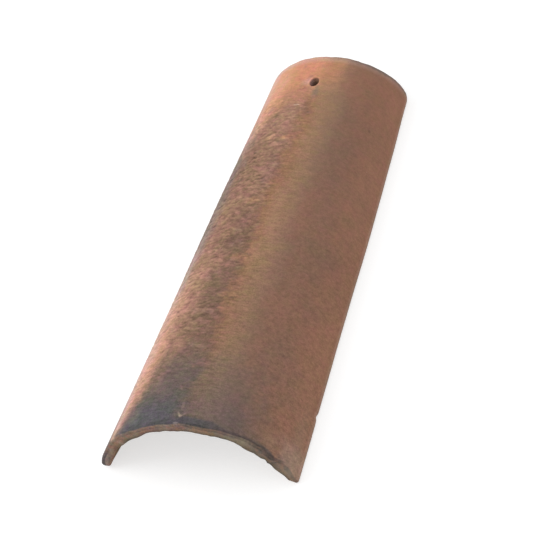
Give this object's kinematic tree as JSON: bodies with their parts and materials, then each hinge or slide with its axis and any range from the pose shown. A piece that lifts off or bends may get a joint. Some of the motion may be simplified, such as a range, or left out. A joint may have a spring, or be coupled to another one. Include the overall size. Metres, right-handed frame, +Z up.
{
  "type": "clay roof tile",
  "caption": "Tapered half-barrel roof tile of fired clay, open underneath, with a nail hole in the crown near its narrow end.",
  "frame": {"origin": "middle of the tile's footprint, on the plane that its two feet stand on", "axes": "+Z up through the crown, +Y along the tile towards its narrow end, +X across it"},
  "size_m": [0.1776, 0.45, 0.0679],
  "materials": {
    "fired_clay": "unglazed fired clay, matt, smoke-flashed from red-brown to grey"
  },
  "bodies": {
    "root": {"barrel_tile": "fired_clay"}
  },
  "joints": []
}
